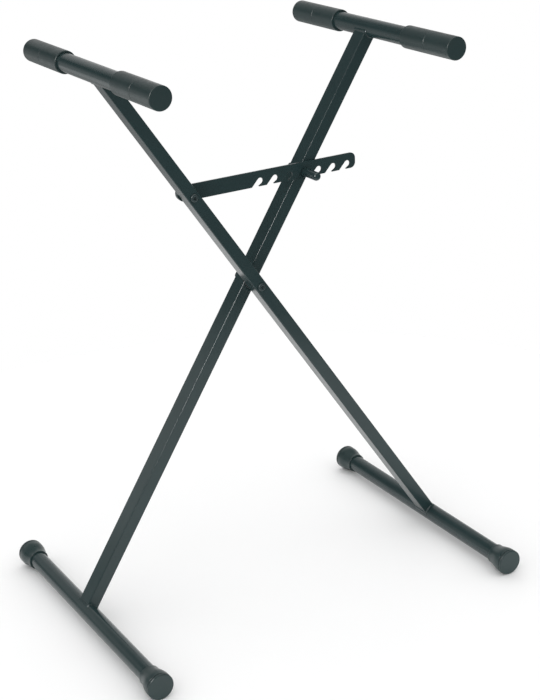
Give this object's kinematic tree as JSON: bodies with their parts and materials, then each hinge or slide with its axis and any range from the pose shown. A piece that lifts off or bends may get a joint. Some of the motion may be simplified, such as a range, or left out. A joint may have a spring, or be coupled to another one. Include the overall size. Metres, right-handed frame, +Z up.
{
  "type": "folding keyboard stand",
  "caption": "Folding X stand for a keyboard: crossed arms, round rubber-capped foot and top bars, and a notched brace bar hooked on a locking peg.",
  "frame": {"origin": "on the floor, midway between the four feet, in the plane between the crossed arms", "axes": "+Z up; +X to the right, the way the X spreads; -Y is the front, the side of the bolt heads and the peg's nose"},
  "size_m": [0.6886, 0.5, 0.8965],
  "materials": {
    "black_paint": "satin",
    "rubber_sleeve": "satin",
    "rubber_foot": "matte",
    "dark_hardware": "satin",
    "nylon": "matte"
  },
  "bodies": {
    "rear_leg": {"rear_arm": "black_paint", "rear_foot_weld": "black_paint", "rear_top_weld": "black_paint", "foot_bar_left": "black_paint", "top_bar_right": "black_paint", "foot_cap_left_front": "rubber_foot", "foot_cap_left_rear": "rubber_foot", "sleeve_right_front": "rubber_sleeve", "sleeve_right_rear": "rubber_sleeve", "pivot_bolt": "dark_hardware", "pivot_spacer": "nylon", "pivot_crush_tube": "black_paint", "pivot_washer_rear": "dark_hardware", "pivot_nut": "dark_hardware", "locking_peg": "black_paint", "peg_crush_tube": "black_paint", "peg_washer": "dark_hardware", "peg_nut": "dark_hardware"},
    "front_leg": {"front_arm": "black_paint", "front_foot_weld": "black_paint", "front_top_weld": "black_paint", "foot_bar_right": "black_paint", "top_bar_left": "black_paint", "foot_cap_right_front": "rubber_foot", "foot_cap_right_rear": "rubber_foot", "sleeve_left_front": "rubber_sleeve", "sleeve_left_rear": "rubber_sleeve", "pivot_bush": "black_paint", "brace_bolt": "dark_hardware", "brace_crush_tube": "black_paint", "brace_washer_inner": "nylon", "brace_washer_rear": "dark_hardware", "brace_nut": "dark_hardware"},
    "brace": {"brace_bar": "black_paint"}
  },
  "joints": [
    {"name": "fold", "type": "hinge", "parent": "rear_leg", "child": "front_leg", "pos_m": [0, 0, 0.5132], "axis": [0, 1, 0], "range_deg": [0, 60]},
    {"name": "brace_swing", "type": "hinge", "parent": "front_leg", "child": "brace", "pos_m": [-0.1073, 0, 0.67675], "axis": [0, 1, 0], "range_deg": [-73.3, 0]}
  ],
  "couplings": [
    {"joint": "brace_swing", "follows": "fold", "ratio": -1.22}
  ]
}
